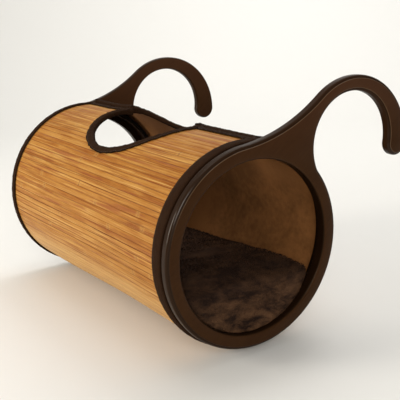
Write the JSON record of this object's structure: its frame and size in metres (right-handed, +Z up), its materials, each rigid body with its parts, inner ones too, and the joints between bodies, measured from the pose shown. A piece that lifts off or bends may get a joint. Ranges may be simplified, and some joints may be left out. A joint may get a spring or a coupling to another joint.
{
  "type": "radiator cat bed",
  "caption": "Hanging cat bed: a tunnel of bamboo slats between dark wooden boards with hooks, with an oval opening on top and a brown plush cushion.",
  "frame": {"origin": "midway between the two hooks, at the crown of their arches, where the bed hangs", "axes": "+X along the tunnel to the end with the wide tape, +Y across from the tunnel to the hooks' tips, +Z up"},
  "size_m": [0.512, 0.4204, 0.3544],
  "materials": {
    "dark_wood": "satin lacquer",
    "plain_wood": "planed, unfinished",
    "bamboo": "smooth, clear lacquer",
    "suede": "short nap",
    "tape_cloth": "woven tape",
    "plush": "deep pile",
    "black_nylon": "hook-and-loop tape"
  },
  "bodies": {
    "tunnel": {"side_board_left": "dark_wood", "side_board_right": "dark_wood", "hoop_left": "dark_wood", "hoop_right": "dark_wood", "hoop_tape_left": "black_nylon", "hoop_tape_right": "black_nylon", "base_rail_rear": "plain_wood", "base_rail_middle": "plain_wood", "base_rail_front": "plain_wood", "base_rail_rear_pin_left": "plain_wood", "base_rail_rear_pin_right": "plain_wood", "base_rail_middle_pin_left": "plain_wood", "base_rail_middle_pin_right": "plain_wood", "base_rail_front_pin_left": "plain_wood", "base_rail_front_pin_right": "plain_wood", "slat_mat": "bamboo", "lining": "suede", "end_tape_left": "tape_cloth", "end_tape_right": "tape_cloth", "front_edge_tape_left": "tape_cloth", "front_edge_tape_right": "tape_cloth", "rear_edge_tape_left": "tape_cloth", "rear_edge_tape_right": "tape_cloth", "hole_tape_front": "tape_cloth", "hole_tape_rear": "tape_cloth", "closing_flap_left": "tape_cloth", "closing_flap_right": "tape_cloth", "closing_tape_left": "black_nylon", "closing_tape_right": "black_nylon"},
    "cushion": {"cushion": "plush"}
  },
  "joints": [
    {"name": "cushion_slide", "type": "slide", "parent": "tunnel", "child": "cushion", "axis": [1, 0, 0], "range_m": [-0.505, 0.505]}
  ]
}
